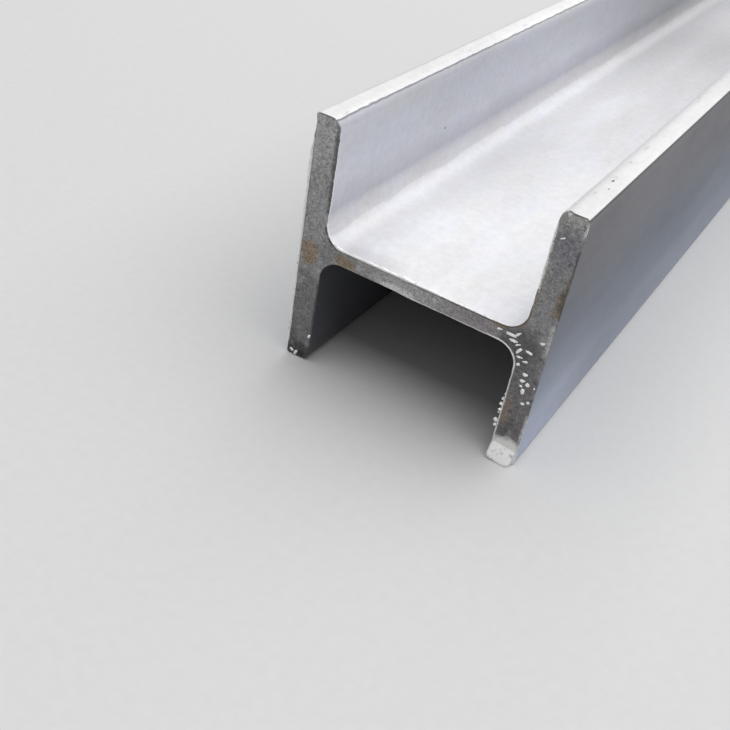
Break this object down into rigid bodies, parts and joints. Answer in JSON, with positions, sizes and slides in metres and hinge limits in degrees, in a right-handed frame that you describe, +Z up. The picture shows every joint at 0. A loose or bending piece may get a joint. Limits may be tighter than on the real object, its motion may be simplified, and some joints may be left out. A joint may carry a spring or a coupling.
{
  "type": "steel i-beam",
  "caption": "Straight parallel-flange steel beam of H-shaped rolled section with square-sawn ends, undrilled stock for frames, lintels, posts and supports.",
  "frame": {"origin": "on the floor, under the middle of the beam", "axes": "+Z up, +Y along the length, +X across both flanges; the web lies level and the flanges stand upright"},
  "size_m": [0.1, 6, 0.1],
  "materials": {
    "steel": "hot-rolled skin of smooth grey scale, with coarse sawn ends and a little rust"
  },
  "bodies": {
    "root": {"steel_beam": "steel"}
  },
  "joints": []
}
